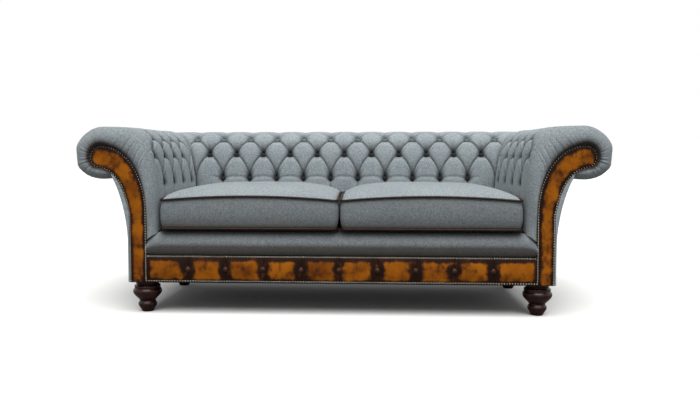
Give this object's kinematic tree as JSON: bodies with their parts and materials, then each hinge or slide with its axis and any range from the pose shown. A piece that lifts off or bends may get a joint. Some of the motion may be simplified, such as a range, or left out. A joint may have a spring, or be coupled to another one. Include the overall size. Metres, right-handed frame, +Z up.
{
  "type": "sofa",
  "caption": "Scroll-arm sofa with deep-buttoned back and arms, leather facings and buttoned leather front border, loose piped seat cushions and turned feet.",
  "frame": {"origin": "on the floor under the middle of the overall box", "axes": "+X runs along the width to the right as seen from the front, the front faces -Y, +Z is up"},
  "size_m": [2.1898, 0.9607, 0.78],
  "materials": {
    "frame_wood": "sawn and planed hardwood, bare",
    "cover_fabric": "blue-grey woven upholstery fabric, fine speckle",
    "fabric_buttons": "the same fabric over domed button blanks",
    "deck_fabric": "plain lining over the seat deck",
    "antique_leather": "hand-antiqued tan leather, dark at the edges",
    "leather_piping": "dark brown leather piping",
    "leather_buttons": "antiqued leather over domed button blanks",
    "webbing": "jute webbing",
    "underlining": "black underlining cloth",
    "turned_feet": "turned hardwood, dark mahogany stain, gloss lacquer",
    "screws": "zinc-plated steel"
  },
  "bodies": {
    "sofa_frame": {"front_rail": "frame_wood", "back_rail": "frame_wood", "left_side_rail": "frame_wood", "right_side_rail": "frame_wood", "seat_stretchers": "frame_wood", "corner_blocks": "frame_wood", "left_arm_board": "frame_wood", "right_arm_board": "frame_wood", "left_arm_post": "frame_wood", "right_arm_post": "frame_wood", "left_corner_post": "frame_wood", "right_corner_post": "frame_wood", "left_arm_tack_rail": "frame_wood", "right_arm_tack_rail": "frame_wood", "left_arm_shoulder_rail": "frame_wood", "right_arm_shoulder_rail": "frame_wood", "left_arm_top_rail": "frame_wood", "right_arm_top_rail": "frame_wood", "left_arm_strut": "frame_wood", "right_arm_strut": "frame_wood", "back_posts": "frame_wood", "back_tack_rail": "frame_wood", "back_shoulder_rail": "frame_wood", "back_top_rail": "frame_wood", "back_struts": "frame_wood", "seat_webbing_long": "webbing", "seat_webbing_cross": "webbing", "back_webbing": "webbing", "left_arm_webbing": "webbing", "right_arm_webbing": "webbing", "seat_platform": "deck_fabric", "front_lip": "cover_fabric", "leather_border": "antique_leather", "inside_back": "cover_fabric", "left_inside_arm": "cover_fabric", "right_inside_arm": "cover_fabric", "outside_back": "cover_fabric", "left_outside_arm": "cover_fabric", "right_outside_arm": "cover_fabric", "dust_cover": "underlining", "left_arm_facing": "antique_leather", "right_arm_facing": "antique_leather", "border_buttons": "leather_buttons", "back_buttons": "fabric_buttons", "left_arm_buttons": "fabric_buttons", "right_arm_buttons": "fabric_buttons", "front_left_foot": "turned_feet", "front_right_foot": "turned_feet", "rear_left_foot": "turned_feet", "rear_right_foot": "turned_feet", "foot_screws": "screws"},
    "left_cushion": {"left_cushion": "cover_fabric", "left_cushion_piping": "leather_piping"},
    "right_cushion": {"right_cushion": "cover_fabric", "right_cushion_piping": "leather_piping"}
  },
  "joints": [
    {"name": "left_cushion_lift", "type": "slide", "parent": "sofa_frame", "child": "left_cushion", "axis": [0, 0, 1], "range_m": [0, 0.43]},
    {"name": "right_cushion_lift", "type": "slide", "parent": "sofa_frame", "child": "right_cushion", "axis": [0, 0, 1], "range_m": [0, 0.43]}
  ]
}
